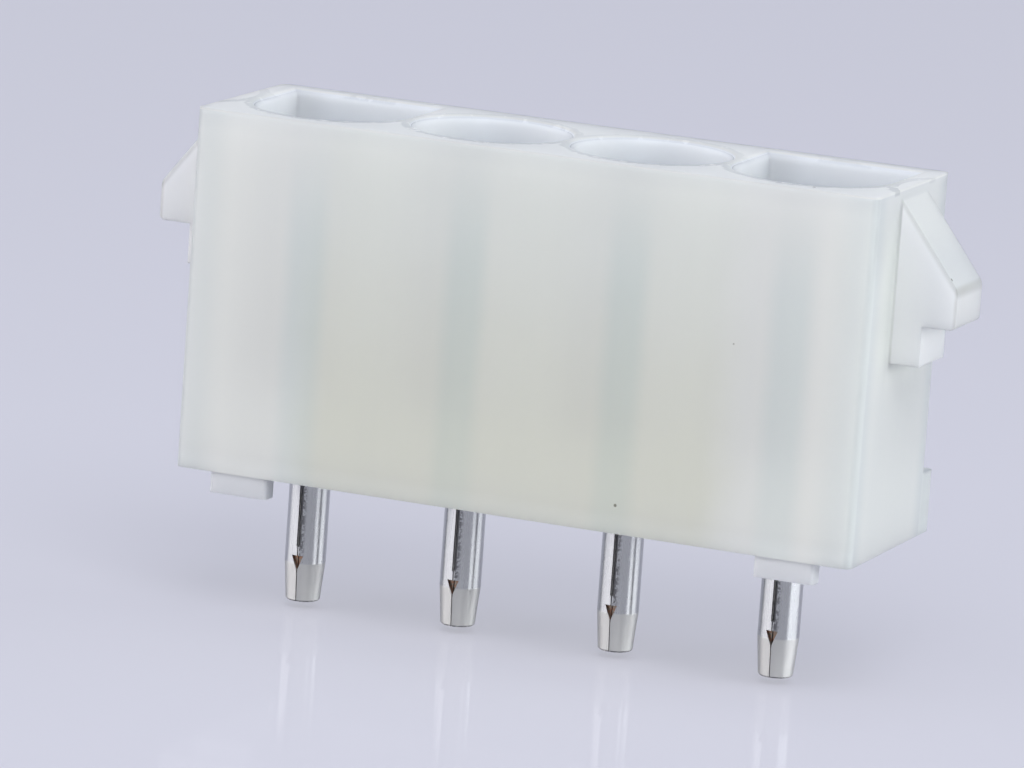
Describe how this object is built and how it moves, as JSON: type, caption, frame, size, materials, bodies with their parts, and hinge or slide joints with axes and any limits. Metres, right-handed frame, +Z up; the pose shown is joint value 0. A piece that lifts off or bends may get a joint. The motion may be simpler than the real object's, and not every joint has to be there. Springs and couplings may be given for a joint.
{
  "type": "socket header",
  "caption": "In-line board header: a milky nylon housing with plug cavities, end latch ramps and standoff feet, holding rolled tin-plated socket contacts with round solder tails.",
  "frame": {"origin": "middle of the row, on the face of the circuit board under the standoff feet", "axes": "+X along the row of contacts, -Y the plain front face, +Z up and away from the board"},
  "size_m": [0.0316, 0.0087, 0.0187],
  "materials": {
    "nylon": "natural nylon, milky and see-through, satin",
    "tin": "bright tin plate on copper alloy strip"
  },
  "bodies": {
    "root": {"housing": "nylon", "contact_1": "tin", "contact_2": "tin", "contact_3": "tin", "contact_4": "tin"}
  },
  "joints": []
}
